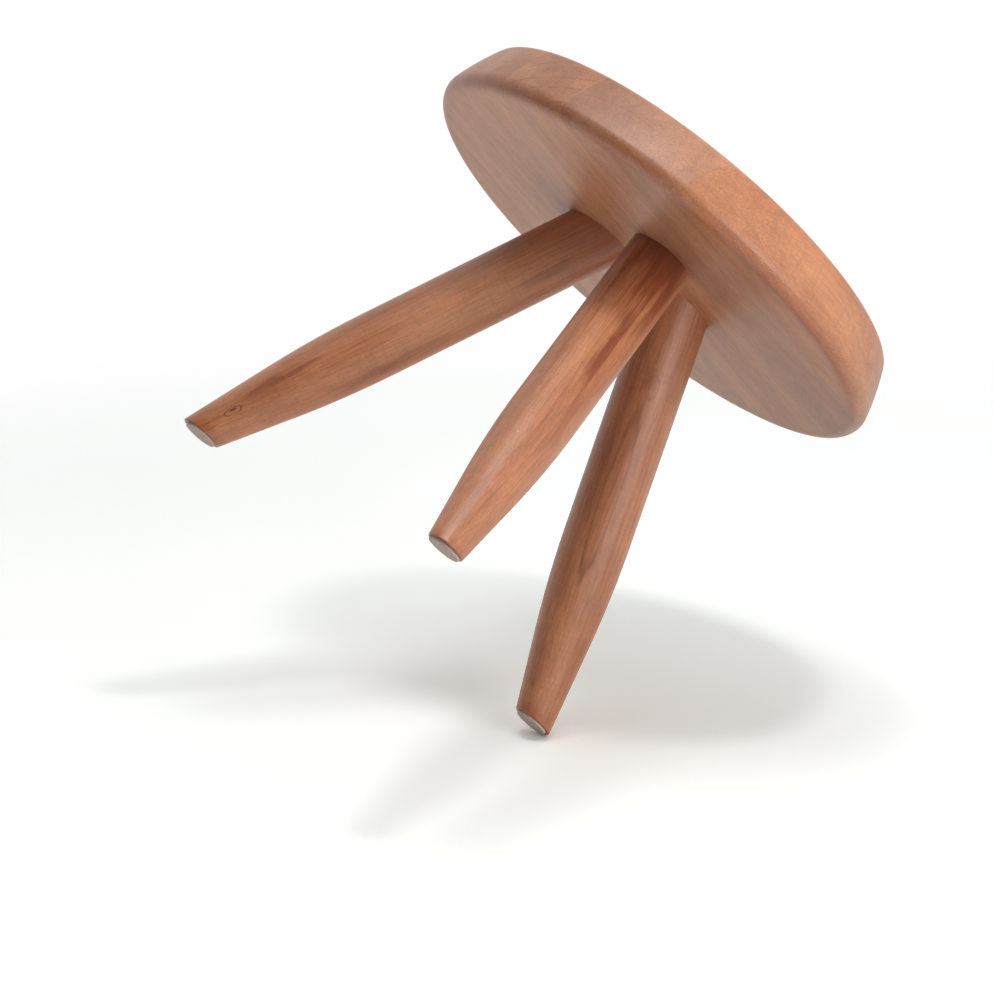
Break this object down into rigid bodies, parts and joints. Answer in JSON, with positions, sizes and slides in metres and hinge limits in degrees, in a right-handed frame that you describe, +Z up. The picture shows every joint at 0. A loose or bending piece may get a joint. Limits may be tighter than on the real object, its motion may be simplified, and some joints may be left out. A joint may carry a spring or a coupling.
{
  "type": "low three-legged stool",
  "caption": "Low round solid-wood stool: a thick glued-board seat with eased edges on splayed, tapered round legs tenoned into its underside, with thin felt pads on the feet.",
  "frame": {"origin": "on the centre line of the seat, level with the floor that the foot pads rest on", "axes": "+Z up; the seat's grain and the rear leg lie along Y, the rear leg towards +Y; the two front legs stand towards -Y, left at -X and right at +X"},
  "size_m": [0.33, 0.3367, 0.29],
  "materials": {
    "seat_wood": "satin oiled hardwood, reddish brown, straight grain",
    "leg_wood": "satin oiled hardwood, reddish brown, grain along the leg",
    "pad_felt": "pressed grey-brown felt"
  },
  "bodies": {
    "root": {"seat_board_1": "seat_wood", "seat_board_2": "seat_wood", "seat_board_3": "seat_wood", "seat_board_4": "seat_wood", "seat_board_5": "seat_wood", "seat_board_6": "seat_wood", "leg_rear": "leg_wood", "leg_front_left": "leg_wood", "leg_front_right": "leg_wood", "foot_pad_rear": "pad_felt", "foot_pad_front_left": "pad_felt", "foot_pad_front_right": "pad_felt"}
  },
  "joints": []
}
